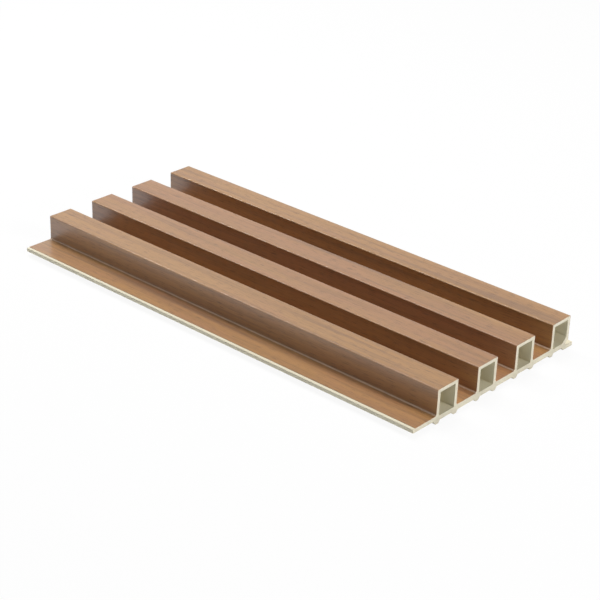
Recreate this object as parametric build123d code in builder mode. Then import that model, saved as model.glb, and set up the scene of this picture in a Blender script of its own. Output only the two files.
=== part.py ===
"""Hollow-rib wall panel: one extruded wood plastic composite profile with a laminated wood-grain film.

The panel lies on its back feet. X runs across the panel from the tongue to the lip, Y along the
extrusion and +Z out of the show face. The origin is under the middle of the panel, at foot level.
"""

import os
from math import radians, tan

from build123d import *

# Driving dimensions, in millimetres and degrees
panel_length = 355.0
panel_height = 24.0

rib_count = 4
rib_pitch = 40.0
rib_width = 20.0
rib_wall = 2.35
rib_top_wall = 2.2
cell_floor = 3.2
cell_corner_radius = 0.5

web_thickness = 3.75
film_thickness = 0.25
film_outer_radius = 0.75
film_inner_radius = 1.2

foot_height = 2.0
foot_tip_width = 2.6
foot_flank_angle = 38.0
foot_spacing = 17.6
back_corner_radius = 0.4

tongue_length = 2.2
tongue_chamfer = 0.3
lip_reach = 5.5
lip_inset = 4.8
lip_thickness = 2.8
slot_chamfer = 4.2
joint_clearance = 0.15
tongue_end_clearance = 0.3

# Levels above the floor that the feet stand on
web_bottom = foot_height
web_top = web_bottom + web_thickness
groove_floor = web_top + film_thickness
core_top = panel_height - film_thickness
cell_bottom = web_bottom + cell_floor
cell_top = core_top - rib_top_wall
flange_bottom = lip_thickness + joint_clearance
slot_top = web_top + joint_clearance

# Stations across the panel, from the tongue's edge to the lip's edge
groove_width = rib_pitch - rib_width
rib_span = (rib_count - 1) * rib_pitch + rib_width
panel_width = tongue_length + groove_width + rib_span + lip_reach
tongue_edge = -panel_width / 2
film_edge = tongue_edge + tongue_length
first_rib = film_edge + groove_width
last_face = first_rib + rib_span
lip_edge = last_face + lip_reach
slot_root = last_face - tongue_length - tongue_end_clearance

rib_centres = [first_rib + rib_width / 2 + number * rib_pitch for number in range(rib_count)]
foot_centres = [centre + side * foot_spacing / 2 for centre in rib_centres for side in (-1, 1)]


def show_corners(inset):
    """Corners of the show face from the flange to the last rib, moved inwards by inset."""
    corners = [(film_edge, groove_floor - inset)]
    for centre in rib_centres:
        left = centre - rib_width / 2 + inset
        right = centre + rib_width / 2 - inset
        corners += [
            (left, groove_floor - inset),
            (left, panel_height - inset),
            (right, panel_height - inset),
            (right, groove_floor - inset),
        ]
    corners[-1] = (last_face - inset, slot_top)
    return corners


def show_radii(inset):
    """Radii at those corners: the roots of the ribs open up with inset, their top edges tighten."""
    root = film_inner_radius + inset
    edge = film_outer_radius - inset
    return ([root, edge, edge, root] * rib_count)[:-1]


def back_corners():
    """Corners of the back from the last rib's wall through slot, lip and feet to the film's edge."""
    flank = tan(radians(foot_flank_angle))
    tip = foot_tip_width / 2
    corners = [
        (last_face - film_thickness, slot_top),
        (slot_root, slot_top),
        (slot_root, lip_thickness),
        (lip_edge, lip_thickness),
        (lip_edge, 0),
        (last_face - lip_inset, 0),
        (last_face - lip_inset - web_bottom * flank, web_bottom),
    ]
    for centre in reversed(foot_centres[:-1]):
        outer_root = flange_bottom if centre == foot_centres[0] else web_bottom
        corners += [
            (centre + tip + web_bottom * flank, web_bottom),
            (centre + tip, 0),
            (centre - tip, 0),
            (centre - tip - outer_root * flank, outer_root),
        ]
    corners += [
        (tongue_edge + tongue_chamfer, flange_bottom),
        (tongue_edge, flange_bottom + tongue_chamfer),
        (tongue_edge, web_top - tongue_chamfer),
        (tongue_edge + tongue_chamfer, web_top),
        (film_edge, web_top),
    ]
    return corners


# The composite profile, with a hollow cell in each rib
cell_width = rib_width - 2 * (film_thickness + rib_wall)
cell_height = cell_top - cell_bottom
cell_level = (cell_top + cell_bottom) / 2

with BuildPart() as core_profile:
    with BuildSketch(Plane.XZ) as core_section:
        with BuildLine():
            FilletPolyline(*show_corners(film_thickness), radius=show_radii(film_thickness))
            FilletPolyline(*back_corners(), radius=back_corner_radius)
        make_face()
    extrude(amount=panel_length / 2, both=True)

    with BuildSketch(Plane.XZ) as cell_section:
        with Locations(*[(centre, cell_level) for centre in rib_centres]):
            Rectangle(cell_width, cell_height)
        slot_corner = cell_section.vertices().group_by(Axis.X)[-1].sort_by(Axis.Y)[0]
        chamfer(slot_corner, length=slot_chamfer)
        fillet(cell_section.vertices(), radius=cell_corner_radius)
    extrude(amount=panel_length / 2, both=True, mode=Mode.SUBTRACT)

# The wood-grain film, wrapped over flange, ribs and grooves
with BuildPart() as wood_grain_film:
    with BuildSketch(Plane.XZ) as film_section:
        with BuildLine():
            face_line = FilletPolyline(*show_corners(0), radius=show_radii(0))
            glue_line = FilletPolyline(*show_corners(film_thickness), radius=show_radii(film_thickness))
            Line(face_line @ 0, glue_line @ 0)
            Line(face_line @ 1, glue_line @ 1)
        make_face()
    extrude(amount=panel_length / 2, both=True)

os.makedirs("parts", exist_ok=True)

core_profile.part.label = "core_profile"
export_step(core_profile.part, "parts/core_profile.step")

wood_grain_film.part.label = "wood_grain_film"
export_step(wood_grain_film.part, "parts/wood_grain_film.step")
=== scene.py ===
"""Looks of a hollow-rib wall panel: its printed wood-grain film, its cream composite and a plain studio.

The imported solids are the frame, in metres. X runs across the panel from the tongue to the lip, Y along
the extrusion and +Z out of the show face. The back feet stand on the floor at zero.
"""

import math

import bpy
import numpy as np
from bpy.props import FloatProperty, FloatVectorProperty, IntProperty, PointerProperty
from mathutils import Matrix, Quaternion, Vector


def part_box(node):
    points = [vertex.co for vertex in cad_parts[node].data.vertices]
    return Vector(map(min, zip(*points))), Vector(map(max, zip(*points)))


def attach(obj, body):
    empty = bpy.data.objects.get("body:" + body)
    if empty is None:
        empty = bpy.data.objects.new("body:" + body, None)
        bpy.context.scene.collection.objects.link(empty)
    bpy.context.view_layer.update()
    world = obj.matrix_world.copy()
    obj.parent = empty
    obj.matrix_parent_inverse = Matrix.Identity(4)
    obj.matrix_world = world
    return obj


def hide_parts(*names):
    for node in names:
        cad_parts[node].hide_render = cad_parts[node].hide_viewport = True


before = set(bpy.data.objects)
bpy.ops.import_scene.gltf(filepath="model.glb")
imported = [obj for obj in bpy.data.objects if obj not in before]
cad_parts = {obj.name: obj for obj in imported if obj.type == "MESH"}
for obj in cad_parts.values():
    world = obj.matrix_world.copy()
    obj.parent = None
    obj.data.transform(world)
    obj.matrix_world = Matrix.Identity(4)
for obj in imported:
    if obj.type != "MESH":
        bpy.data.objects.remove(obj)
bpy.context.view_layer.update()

bl_info = {
    "name": "Hollow-rib wall panel",
    "version": (1, 0, 0),
    "blender": (4, 5, 0),
    "location": "View3D > Sidebar > Wall panel",
    "description": "Wraps the film, finishes the composite and sets the stage of a wall panel",
    "category": "Object",
}

FILM_LOW, FILM_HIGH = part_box("wood_grain_film")
_, CORE_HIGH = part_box("core_profile")
WHITE = (1.0, 1.0, 1.0, 1.0)
PLASTIC_INDEX = 1.5


def length(name, default, description):
    """A length property in metres."""
    return FloatProperty(name=name, description=description, default=default, unit="LENGTH", precision=5)


def colour(name, default, description):
    """A colour property, linear red, green and blue."""
    return FloatVectorProperty(
        name=name, description=description, default=default, subtype="COLOR", size=3, min=0.0, max=1.0
    )


def angle(name, degrees, description):
    """An angle property, given in degrees."""
    return FloatProperty(name=name, description=description, default=math.radians(degrees), subtype="ANGLE")


def factor(name, default, description):
    """A plain number."""
    return FloatProperty(name=name, description=description, default=default, precision=3)


def watts(name, default, description):
    """The power of a light, in watts."""
    return FloatProperty(name=name, description=description, default=default, unit="POWER")


def position(name, default, description):
    """A point in metres."""
    return FloatVectorProperty(
        name=name, description=description, default=default,
        subtype="XYZ", unit="LENGTH", size=3, precision=5,
    )


class FilmSettings(bpy.types.PropertyGroup):
    """Sizes and colours of the printed film."""

    rib_count: IntProperty(
        name="Ribs", description="Number of hollow ribs under the film", default=4, min=1
    )
    rib_width: length("Rib width", 0.020, "Width of a rib over the film")
    thickness: length("Thickness", 0.00025, "Thickness of the film")
    edge_radius: length("Edge radius", 0.00075, "Radius over the ribs' top edges")
    root_radius: length("Root radius", 0.0012, "Radius where a rib meets the groove floor")
    last_foot: length("Last foot", 0.0059, "Level at which the film ends on the last rib's outer wall")
    sink: length("Sink", 0.00006, "How far the faces over the hollow cells have sunk in the middle")
    ripple: length("Ripple", 0.00002, "Depth of the slow ripple left along the panel by the haul-off")
    ripple_pitch: length("Ripple pitch", 0.062, "Distance between two ripples")
    ripple_lean: factor("Ripple lean", 40.0, "Turn of the ripple for each metre across, in radians")
    print_start: length("Print start", 0.048, "Way across the sheet at which the print is yellowest")
    print_repeat: length("Print repeat", 0.228, "Way across the sheet until its tone comes back")
    drift: length("Drift", 0.012, "How far the lines of the grain wander sideways")
    emboss: length("Emboss", 0.00006, "Depth of the embossed fibres and pores")
    rub_start: length("Rub start", 0.0010, "How far under the ribs' tops the rubbed lacquer begins")
    rub_full: length("Rub full", 0.0002, "How far under the ribs' tops it is fully rubbed")
    wood: colour("Wood", (0.408, 0.199, 0.075), "Ground colour of the print")
    honey: colour("Honey", (0.446, 0.228, 0.075), "Yellower zones of the print")
    rose: colour("Rose", (0.424, 0.202, 0.086), "Pinker zones of the print")
    streak: colour("Streak", (0.215, 0.101, 0.044), "Dark growth streaks")
    pore: colour("Pore", (0.120, 0.054, 0.025), "Short pores between the fibres")
    # Painted highlight: this pale colour along the ribs' roots stands in for the light caught in the
    # concave fillets.
    root_highlight: colour("Crease", (0.820, 0.600, 0.410), "Film that was pressed pale into the ribs' roots")
    gloss_coat: factor("Lacquer", 1.0, "Strength of the clear lacquer over the print")
    lacquer_roughness: factor("Lacquer roughness", 0.30, "How satin the lacquer is")
    lacquer_index: factor("Lacquer index", 1.65, "Refractive index of the lacquer")


class CompositeSettings(bpy.types.PropertyGroup):
    """Colours of the wood plastic composite, and the marks of die and saw on it."""

    cream: colour("Cream", (0.825, 0.770, 0.590), "Skin of the extruded profile")
    sawn: colour("Sawn", (0.765, 0.720, 0.575), "Freshly sawn ends")
    flour: colour("Flour", (0.600, 0.480, 0.320), "Wood flour in the composite")
    blade_radius: length("Blade radius", 0.150, "Radius of the saw blade that cut the ends")
    blade_offset: length("Blade offset", 0.02, "From the middle of the panel to the blade's axle")
    blade_wobble: length("Blade wobble", 0.0006, "How far the saw marks stray")
    tooth_pitch: length("Tooth pitch", 0.0011, "Distance between two saw marks")
    end_skin: length("End skin", 0.00004, "How far from a sawn face its finish reaches")
    relief: length("Relief", 0.00005, "Depth of saw marks and die lines")


class StageSettings(bpy.types.PropertyGroup):
    """Floor, lights and camera."""

    floor_size: length("Floor size", 8.0, "Side of the floor")
    floor_drop: length("Floor drop", 0.0002, "How far the floor lies under the feet")
    floor_tone: colour("Floor", (0.95, 0.95, 0.95), "Colour of the floor")
    shadow_share: factor("Shadow share", 0.08, "How much of the object's shadow the white floor shows")
    ambient: factor("Ambient", 0.01, "Level of the light from all round")
    overhead_share: factor("Overhead share", 0.24, "How white the world is overhead in reflections")
    horizon_low: factor("Horizon low", 0.30, "Rise of a ray up to which it meets the white horizon")
    horizon_high: factor("Horizon high", 0.56, "Rise of a ray from which it meets the world overhead")
    key_power: watts("Key", 21.5, "Power of the large light over the lip's side")
    key_place: position("Key place", (0.28, 0.40, 1.68), "Middle of the key light")
    key_size: length("Key size", 0.9, "Side of the key light")
    fill_power: watts("Fill", 17.0, "Power of the light in front of the sawn end")
    fill_place: position("Fill place", (0.08, -1.66, 0.80), "Middle of the fill light")
    fill_size: length("Fill size", 0.6, "Side of the fill light")
    rim_power: watts("Rim", 3.4, "Power of the light behind the far end")
    rim_place: position("Rim place", (0.12, 0.78, 0.88), "Middle of the rim light")
    rim_size: length("Rim size", 0.28, "Side of the rim light")
    sensor: FloatProperty(name="Sensor", description="Width of the sensor", default=36.0, unit="CAMERA")
    lens: FloatProperty(name="Lens", description="Focal length", default=100.359, unit="CAMERA")
    azimuth: angle("Azimuth", -48.615, "Direction of view, from +Y towards -X")
    elevation: angle("Elevation", 26.555, "Height of the camera over the horizon")
    roll: angle("Roll", 1.996, "Turn of the camera about its line of sight")
    distance: length("Distance", 1.12413, "From the camera to its target")
    target: position("Target", (-0.014174, -0.023523, 0.0120), "Point in the middle of the picture")


class Value:
    """A shader socket that takes part in arithmetic: every operation adds one Math node."""

    def __init__(self, finish, socket):
        self.finish = finish
        self.socket = socket

    def math(self, operation, *others, first=None):
        """One Math node on this value and the others, with first in front of it if given."""
        terms = [self, *others] if first is None else [first, self, *others]
        return self.finish.node("ShaderNodeMath", {"operation": operation}, dict(enumerate(terms)))

    def __add__(self, other):
        return self.math("ADD", other)

    def __radd__(self, other):
        return self.math("ADD", first=other)

    def __sub__(self, other):
        return self.math("SUBTRACT", other)

    def __rsub__(self, other):
        return self.math("SUBTRACT", first=other)

    def __mul__(self, other):
        return self.math("MULTIPLY", other)

    def __rmul__(self, other):
        return self.math("MULTIPLY", first=other)

    def __pow__(self, other):
        return self.math("POWER", other)

    def __abs__(self):
        return self.math("ABSOLUTE")

    def __gt__(self, other):
        return self.math("GREATER_THAN", other)

    def step(self, low, high):
        """Smooth step from 0 at low to 1 at high."""
        return self.finish.node(
            "ShaderNodeMapRange", {"interpolation_type": "SMOOTHSTEP"},
            {"Value": self, "From Min": low, "From Max": high},
        )


class Finish:
    """Node tree of one material or of the world."""

    def __init__(self, owner):
        owner.use_nodes = True
        self.owner = owner
        self.tree = owner.node_tree
        self.tree.nodes.clear()

    def node(self, kind, settings=None, inputs=None, output=0):
        """Adds a node: its type, its settings, then values or links of its sockets; returns one output."""
        made = self.tree.nodes.new(kind)
        for name, value in (settings or {}).items():
            setattr(made, name, value)
        for key, value in (inputs or {}).items():
            if isinstance(value, Value):
                self.tree.links.new(value.socket, made.inputs[key])
            else:
                made.inputs[key].default_value = value
        return Value(self, made.outputs[output]) if made.outputs else None

    def parts(self, vector):
        """The three numbers of a vector."""
        first = self.node("ShaderNodeSeparateXYZ", inputs={"Vector": vector})
        return [Value(self, socket) for socket in first.socket.node.outputs]

    def noise(self, x, y, z, detail=2.0, roughness=0.5):
        """Soft noise about 0.5 at the point x, y, z."""
        point = self.node("ShaderNodeCombineXYZ", inputs={"X": x, "Y": y, "Z": z})
        return self.node("ShaderNodeTexNoise", inputs={
            "Vector": point, "Scale": 1.0, "Detail": detail, "Roughness": roughness,
        })

    def layers(self, ground, *coats):
        """The ground colour with more colours laid over it, each coat a share and a colour."""
        for share, tone in coats:
            inputs = {0: share, 6: ground, 7: rgba(tone)}
            ground = self.node("ShaderNodeMix", {"data_type": "RGBA"}, inputs, output=2)
        return ground

    def rays(self, *kinds):
        """For each kind of ray, 1 where such a ray asks and 0 elsewhere."""
        path = self.node("ShaderNodeLightPath").socket.node
        return [Value(self, path.outputs[f"Is {kind} Ray"]) for kind in kinds]

    def surface(self, shader):
        """Ends the tree in this shader and returns its owner."""
        for_world = isinstance(self.owner, bpy.types.World)
        kind = "ShaderNodeOutputWorld" if for_world else "ShaderNodeOutputMaterial"
        self.node(kind, inputs={"Surface": shader})
        return self.owner


def rgba(tone):
    """A colour property with full alpha."""
    return (*tone, 1.0)


def film_finish(film):
    """Printed wood grain under satin lacquer, laid out on the film's own flat sheet.

    The attribute flat_sheet holds the way across the sheet, the way along it and the bend of its line.
    Noise that is far longer along the sheet than across it makes zones, streaks, fibres and pores, and
    a slow wander of the way across lets the lines drift as growth rings do. A painted edge highlight makes
    the print a little lighter and yellower over the ribs' edges, a pale painted highlight lies in their
    roots, where the lacquer is also thinner and rougher, and the lacquer is rubbed thinner on the ribs'
    tops.
    """
    finish = Finish(bpy.data.materials.new("wood_grain_print"))
    sheet = finish.node("ShaderNodeAttribute", {"attribute_name": "flat_sheet"}, output=1)
    across, along, bend = finish.parts(sheet)
    height = finish.parts(finish.node("ShaderNodeTexCoord", output=3))[2]

    def grain(way, across_rate, along_rate, seed, **settings):
        """Noise with so many features per metre across the sheet and along it."""
        return finish.noise(way * across_rate, along * along_rate, seed, **settings)

    wander = grain(across, across_rate=24.0, along_rate=5.0, seed=1.7, detail=1.0)
    line = across + (wander - 0.5) * film.drift
    repeat = ((across - film.print_start) * (2.0 * math.pi / film.print_repeat)).math("COSINE")
    zones = grain(line, across_rate=55.0, along_rate=4.0, seed=3.1) + repeat * 0.14
    tint = grain(line, across_rate=150.0, along_rate=16.0, seed=8.4) - repeat * 0.10
    bands = grain(line, across_rate=330.0, along_rate=6.0, seed=5.3, detail=3.0, roughness=0.55)
    rings = grain(line, across_rate=120.0, along_rate=2.6, seed=12.9)
    fibres = grain(line, across_rate=1500.0, along_rate=22.0, seed=21.0, roughness=0.6)
    ticks = grain(line, across_rate=2400.0, along_rate=110.0, seed=33.0, detail=1.0)

    shade = (bands - 0.5) * 1.10 + (fibres - 0.5) * 0.60
    streaks = rings.step(0.56, 0.74) * (0.45 + bands * 0.8)
    pores = ticks.step(0.57, 0.70)
    # Painted highlight: the print is laid lighter and yellower over the ribs' convex edges.
    edge_highlight = bend.step(0.2, 1.0)
    # Painted highlight along the concave roots; the same mask also makes the lacquer thinner and rougher
    # there.
    pressed_root_and_highlight = (0.0 - bend).step(0.40, 0.90)
    worn = height.step(FILM_HIGH.z - film.rub_start, FILM_HIGH.z - film.rub_full)
    tone = finish.layers(
        rgba(film.wood),
        (zones.step(0.36, 0.66), film.honey),
        (tint.step(0.42, 0.70) * 0.8, film.rose),
        ((shade + 0.10).step(0.0, 0.5) * 0.75, film.streak),
        (streaks * 0.85, film.streak),
        (pores * 0.62, film.pore),
        (edge_highlight * 0.22, film.honey),
        (pressed_root_and_highlight * 0.9, film.root_highlight),
    )

    bump = finish.node("ShaderNodeBump", inputs={
        "Strength": 0.55, "Distance": film.emboss, "Height": fibres * 0.6 - pores * 0.8,
    })
    shader = finish.node("ShaderNodeBsdfPrincipled", inputs={
        "Base Color": tone,
        "Roughness": 0.42 + (fibres - 0.5) * 0.16 + pores * 0.16 + pressed_root_and_highlight * 0.08,
        "IOR": PLASTIC_INDEX,
        "Coat Weight": film.gloss_coat * (1.0 - pressed_root_and_highlight * 0.40 - worn * 0.3),
        "Coat Roughness": film.lacquer_roughness,
        "Coat IOR": film.lacquer_index,
        "Normal": bump,
    })
    return finish.surface(shader)


def composite_finish(composite):
    """Cream wood plastic composite: die lines and flour streaks along the skin, saw marks on the ends.

    Flecks come from noise that is short across the profile and long along it, so that they are dots on
    a sawn end and streaks on the skin. Saw marks are a sine of the distance from the blade's axle.
    """
    finish = Finish(bpy.data.materials.new("cream_composite"))
    place = finish.node("ShaderNodeTexCoord", output=3)
    x, y, z = finish.parts(place)
    end = abs(y) > CORE_HIGH.y - composite.end_skin

    def speckle(section_rate, along_rate, **settings):
        """Noise with so many features per metre across the section and along the panel."""
        return finish.noise(x * section_rate, y * along_rate, z * section_rate, **settings)

    flecks = speckle(section_rate=1300.0, along_rate=60.0, detail=1.0, roughness=0.6)
    clouds = speckle(section_rate=70.0, along_rate=14.0)
    lines = speckle(section_rate=900.0, along_rate=3.0, detail=1.0)
    wobble = speckle(section_rate=160.0, along_rate=160.0, detail=1.0)
    reach = ((x + composite.blade_offset) ** 2.0 + (z + composite.blade_radius) ** 2.0) ** 0.5
    teeth = 2.0 * math.pi / composite.tooth_pitch
    saw = ((reach + wobble * composite.blade_wobble) * teeth).math("SINE")

    flour = flecks.step(0.56, 0.72)
    tone = finish.layers(
        rgba(composite.cream),
        (end, composite.sawn),
        (flour * (0.05 + end * 0.27), composite.flour),
        (clouds.step(0.40, 0.75) * 0.16, composite.flour),
        (end * (saw * 0.5 + 0.5) * 0.07, composite.flour),
    )

    height = end * (saw * 0.35 + flecks) + (1.0 - end) * (lines * 0.2 + flecks * 0.01)
    bump = finish.node("ShaderNodeBump", inputs={
        "Strength": 0.3, "Distance": composite.relief, "Height": height,
    })
    shader = finish.node("ShaderNodeBsdfPrincipled", inputs={
        "Base Color": tone,
        "Roughness": 0.50 + end * 0.24 + flour * 0.08,
        "IOR": PLASTIC_INDEX,
        "Normal": bump,
    })
    return finish.surface(shader)


def film_line(film, steps=7, turns=8):
    """The film's face line across the panel: points, outward normals, bend and sink.

    Straight runs join the corners, and every corner is an arc. With a and b the directions before and
    after a corner C and r its radius, the arc is C - r(1 - sin t)a + r(1 - cos t)b for t from 0 to a
    quarter turn, and its normal cos t na + sin t nb. Bend is sin 2t, positive over an edge. A face over
    a hollow cell sinks by 16 q^2 (1 - q)^2, with q the share of its run.
    """
    pitch = (FILM_HIGH.x - FILM_LOW.x) / film.rib_count
    floor = FILM_LOW.z + film.thickness
    left = FILM_LOW.x + pitch - film.rib_width + pitch * np.arange(film.rib_count)
    corners = np.empty((film.rib_count, 4, 2))
    corners[:, :2, 0] = left[:, None]
    corners[:, 2:, 0] = left[:, None] + film.rib_width
    corners[:, ::3, 1] = floor
    corners[:, 1:3, 1] = FILM_HIGH.z
    corners = np.vstack([[(FILM_LOW.x, floor)], corners.reshape(-1, 2)])
    corners[-1, 1] = film.last_foot

    way = np.diff(corners, axis=0)
    way /= np.linalg.norm(way, axis=1, keepdims=True)
    normal = np.stack([-way[:, 1], way[:, 0]], axis=1)
    around_rib = [film.root_radius, film.edge_radius, film.edge_radius, film.root_radius]
    radius = np.tile(around_rib, film.rib_count)[:-1, None, None]
    before, after = way[:-1, None], way[1:, None]
    turn = np.linspace(0.0, math.pi / 2, turns + 1)[None, :, None]
    arcs = corners[1:-1, None] - radius * (1 - np.sin(turn)) * before + radius * (1 - np.cos(turn)) * after
    arc_normals = np.cos(turn) * normal[:-1, None] + np.sin(turn) * normal[1:, None]
    side = way[:-1, 1] * way[1:, 0] - way[:-1, 0] * way[1:, 1]
    arc_bends = side[:, None] * np.sin(2 * turn[:, :, 0])

    share = np.linspace(0.0, 1.0, steps + 1)[1:-1]
    starts = np.vstack([corners[:1], arcs[:, -1]])
    ends = np.vstack([arcs[:, 0], corners[-1:]])
    runs = starts[:, None] + (ends - starts)[:, None] * share[None, :, None]
    run_normals = np.repeat(normal[:, None], len(share), axis=1)
    hollow = np.arange(len(runs)) % 4 != 0
    run_sinks = hollow[:, None] * 16 * share ** 2 * (1 - share) ** 2

    def whole(first, run_values, arc_values, last):
        """Runs and arcs in turn, between the line's two ends."""
        turns_and_runs = np.concatenate([run_values[:-1], arc_values], axis=1)
        flat = turns_and_runs.reshape(-1, *turns_and_runs.shape[2:])
        return np.concatenate([first[None], flat, run_values[-1], last[None]])

    zero = np.zeros(())
    points = whole(corners[0], runs, arcs, corners[-1])
    normals = whole(normal[0], run_normals, arc_normals, normal[-1])
    bends = whole(zero, np.zeros_like(run_sinks), arc_bends, zero)
    sinks = whole(zero, run_sinks, np.zeros_like(arc_bends), zero)
    return points, normals, bends, sinks


def film_mesh(film, rows=72):
    """The film as a closed skin: its face line carried along Y, with its glue line one thickness below.

    A face point at the way s across the sheet and y along it lies on the line, moved inwards by the sink
    and, where it sinks, by a ripple of half of 1 + sin(2 pi y / pitch + lean s). The glue line is the
    face line moved inwards by the thickness, and a strip of quads closes each end.
    """
    points, normals, bends, sinks = film_line(film)
    count = len(points)
    across = np.concatenate([[0.0], np.cumsum(np.linalg.norm(np.diff(points, axis=0), axis=1))])
    along = np.linspace(FILM_LOW.y, FILM_HIGH.y, rows)
    phase = 2 * math.pi * along[:, None] / film.ripple_pitch + film.ripple_lean * across
    ripple = 0.5 + 0.5 * np.sin(phase)
    depth = film.sink * sinks + film.ripple * ripple * (sinks > 0)
    face = points - normals * depth[:, :, None]
    glue = np.broadcast_to((points - normals * film.thickness)[::-1], face.shape)
    ring = np.concatenate([face, glue], axis=1)
    co = np.empty((rows, 2 * count, 3))
    co[:, :, 0] = ring[:, :, 0]
    co[:, :, 1] = along[:, None]
    co[:, :, 2] = ring[:, :, 1]

    index = np.arange(rows * 2 * count).reshape(rows, 2 * count)
    ahead = np.roll(index, -1, axis=1)
    skin = np.stack([index[:-1], ahead[:-1], ahead[1:], index[1:]], axis=2)
    smooth = np.ones(skin.shape[:2], bool)
    smooth[:, [count - 1, 2 * count - 1]] = False
    outer, inner = index[:, :count], index[:, :count - 1:-1]
    strips = np.stack([outer[:, :-1], inner[:, :-1], inner[:, 1:], outer[:, 1:]], axis=2)
    quads = np.concatenate([skin.reshape(-1, 4), strips[0], strips[-1][:, ::-1]])
    smooth = np.concatenate([smooth.ravel(), np.zeros(2 * (count - 1), bool)])

    mesh = bpy.data.meshes.new("printed_film")
    mesh.vertices.add(co.size // 3)
    mesh.vertices.foreach_set("co", co.ravel())
    mesh.loops.add(quads.size)
    mesh.loops.foreach_set("vertex_index", quads.ravel().astype(np.int32))
    mesh.polygons.add(len(quads))
    mesh.polygons.foreach_set("loop_start", np.arange(0, quads.size, 4, dtype=np.int32))
    mesh.polygons.foreach_set("use_smooth", smooth)
    mesh.update(calc_edges=True)
    edges = np.empty(2 * len(mesh.edges), np.int32)
    mesh.edges.foreach_get("vertices", edges)
    row, column = np.divmod(edges.reshape(-1, 2), 2 * count)
    cut = (row[:, 0] == row[:, 1]) & np.isin(row[:, 0], (0, rows - 1))
    rim = (column[:, 0] == column[:, 1]) & np.isin(column[:, 0], (0, count - 1, count, 2 * count - 1))
    mesh.edges.foreach_set("use_edge_sharp", cut | rim)
    sheet = np.empty_like(co)
    sheet[:, :, 0] = np.concatenate([across, across[::-1]])
    sheet[:, :, 1] = along[:, None]
    sheet[:, :, 2] = np.concatenate([bends, bends[::-1]])
    mesh.attributes.new("flat_sheet", "FLOAT_VECTOR", "POINT").data.foreach_set("vector", sheet.ravel())
    return mesh


class WALLPANEL_OT_film(bpy.types.Operator):
    """Wraps the printed film over flange, ribs and grooves"""

    bl_idname = "wall_panel.film"
    bl_label = "Wrap film"

    def execute(self, context):
        film = context.scene.panel_film
        piece = bpy.data.objects.new("printed_film", film_mesh(film))
        piece.data.materials.append(film_finish(film))
        context.scene.collection.objects.link(piece)
        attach(piece, "root")
        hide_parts("wood_grain_film")
        return {"FINISHED"}


class WALLPANEL_OT_composite(bpy.types.Operator):
    """Gives the extruded profile its cream composite finish"""

    bl_idname = "wall_panel.composite"
    bl_label = "Finish composite"

    def execute(self, context):
        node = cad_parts["core_profile"]
        node.data.materials.clear()
        node.data.materials.append(composite_finish(context.scene.panel_composite))
        return {"FINISHED"}


def floor_finish(stage):
    """White floor, which to the eye and in reflections is mostly plain white.

    The rest of what they meet is its lit colour, with the object's shadow on it.
    """
    finish = Finish(bpy.data.materials.new("white_floor"))
    camera, glossy, through = finish.rays("Camera", "Glossy", "Transmission")
    lit = finish.node("ShaderNodeBsdfDiffuse", inputs={"Color": rgba(stage.floor_tone)})
    white = finish.node("ShaderNodeEmission", inputs={"Color": WHITE, "Strength": 1.0})
    share = (camera + glossy + through) * (1.0 - stage.shadow_share)
    return finish.surface(finish.node("ShaderNodeMixShader", inputs={0: share, 1: lit, 2: white}))


def studio_world(stage):
    """Soft grey light from all round, with a white background to the eye.

    Reflections meet the same white at the horizon, and a share of it overhead.
    """
    finish = Finish(bpy.data.worlds.new("studio"))
    camera, glossy, through = finish.rays("Camera", "Glossy", "Transmission")
    rise = finish.parts(finish.node("ShaderNodeTexCoord", output=0))[2]
    horizon = 1.0 - rise.step(stage.horizon_low, stage.horizon_high)
    overhead = stage.overhead_share
    soft = finish.node("ShaderNodeBackground", inputs={"Color": WHITE, "Strength": stage.ambient})
    white = finish.node("ShaderNodeBackground", inputs={"Color": WHITE, "Strength": 1.0})
    share = camera + (glossy + through) * (overhead + horizon * (1.0 - overhead))
    return finish.surface(finish.node("ShaderNodeMixShader", inputs={0: share, 1: soft, 2: white}))


def soft_light(scene, name, power, place, size, mirrored):
    """A square soft light at place, turned to the panel, and shown in reflections if mirrored."""
    lamp = bpy.data.lights.new(name, "AREA")
    lamp.shape = "SQUARE"
    lamp.size = size
    lamp.energy = power
    light = bpy.data.objects.new(name, lamp)
    light.location = place
    light.rotation_mode = "QUATERNION"
    light.rotation_quaternion = (-Vector(place)).to_track_quat("-Z", "Y")
    light.visible_glossy = mirrored
    scene.collection.objects.link(light)


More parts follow.
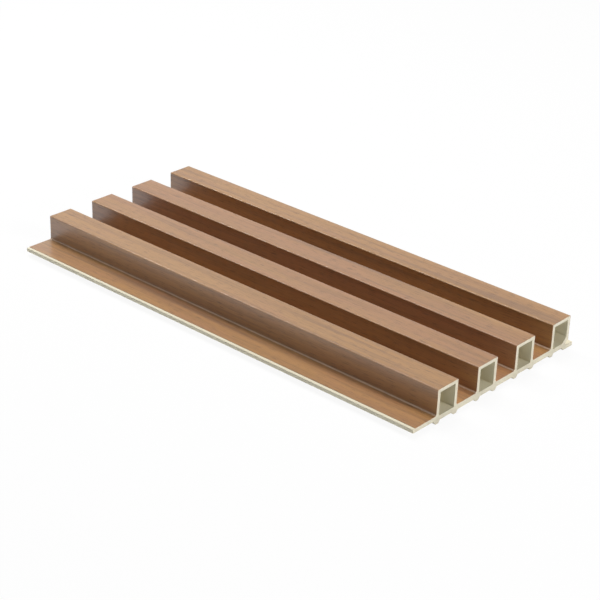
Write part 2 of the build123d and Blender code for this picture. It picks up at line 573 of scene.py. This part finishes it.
class WALLPANEL_OT_stage(bpy.types.Operator):
    """Sets the floor, the lights, the world and the camera"""

    bl_idname = "wall_panel.stage"
    bl_label = "Set stage"

    def execute(self, context):
        scene = context.scene
        stage = scene.panel_stage
        scene.view_settings.view_transform = "Standard"

        half, level = stage.floor_size / 2, -stage.floor_drop
        outline = ((-half, -half), (half, -half), (half, half), (-half, half))
        mesh = bpy.data.meshes.new("studio_floor")
        mesh.from_pydata([(x, y, level) for x, y in outline], [], [(0, 1, 2, 3)])
        mesh.materials.append(floor_finish(stage))
        floor = bpy.data.objects.new("studio_floor", mesh)
        scene.collection.objects.link(floor)

        scene.world = studio_world(stage)
        soft_light(scene, "key_light", stage.key_power, stage.key_place, stage.key_size, mirrored=True)
        soft_light(scene, "fill_light", stage.fill_power, stage.fill_place, stage.fill_size, mirrored=False)
        soft_light(scene, "rim_light", stage.rim_power, stage.rim_place, stage.rim_size, mirrored=True)

        heading = Vector((
            -math.sin(stage.azimuth) * math.cos(stage.elevation),
            math.cos(stage.azimuth) * math.cos(stage.elevation),
            -math.sin(stage.elevation),
        ))
        lens = bpy.data.cameras.new("photo_view")
        lens.sensor_width = stage.sensor
        lens.lens = stage.lens
        roll = Quaternion((0.0, 0.0, 1.0), stage.roll)
        camera = bpy.data.objects.new("photo_view", lens)
        camera.location = Vector(stage.target) - heading * stage.distance
        camera.rotation_mode = "QUATERNION"
        camera.rotation_quaternion = heading.to_track_quat("-Z", "Y") @ roll
        scene.collection.objects.link(camera)
        scene.camera = camera
        return {"FINISHED"}


class WALLPANEL_PT_sidebar(bpy.types.Panel):
    """Sizes, colours and steps of the wall panel"""

    bl_idname = "WALLPANEL_PT_sidebar"
    bl_label = "Wall panel"
    bl_space_type = "VIEW_3D"
    bl_region_type = "UI"
    bl_category = "Wall panel"

    def draw(self, context):
        scene = context.scene
        for settings, operator in (
            (scene.panel_film, WALLPANEL_OT_film),
            (scene.panel_composite, WALLPANEL_OT_composite),
            (scene.panel_stage, WALLPANEL_OT_stage),
        ):
            box = self.layout.box()
            for name in settings.__annotations__:
                box.prop(settings, name)
            box.operator(operator.bl_idname)


CLASSES = (
    FilmSettings,
    CompositeSettings,
    StageSettings,
    WALLPANEL_OT_film,
    WALLPANEL_OT_composite,
    WALLPANEL_OT_stage,
    WALLPANEL_PT_sidebar,
)


def register():
    for cls in CLASSES:
        bpy.utils.register_class(cls)
    bpy.types.Scene.panel_film = PointerProperty(type=FilmSettings)
    bpy.types.Scene.panel_composite = PointerProperty(type=CompositeSettings)
    bpy.types.Scene.panel_stage = PointerProperty(type=StageSettings)


def unregister():
    del bpy.types.Scene.panel_stage
    del bpy.types.Scene.panel_composite
    del bpy.types.Scene.panel_film
    for cls in reversed(CLASSES):
        bpy.utils.unregister_class(cls)


def main():
    register()
    bpy.ops.wall_panel.film()
    bpy.ops.wall_panel.composite()
    bpy.ops.wall_panel.stage()


if __name__ == "__main__":
    main()
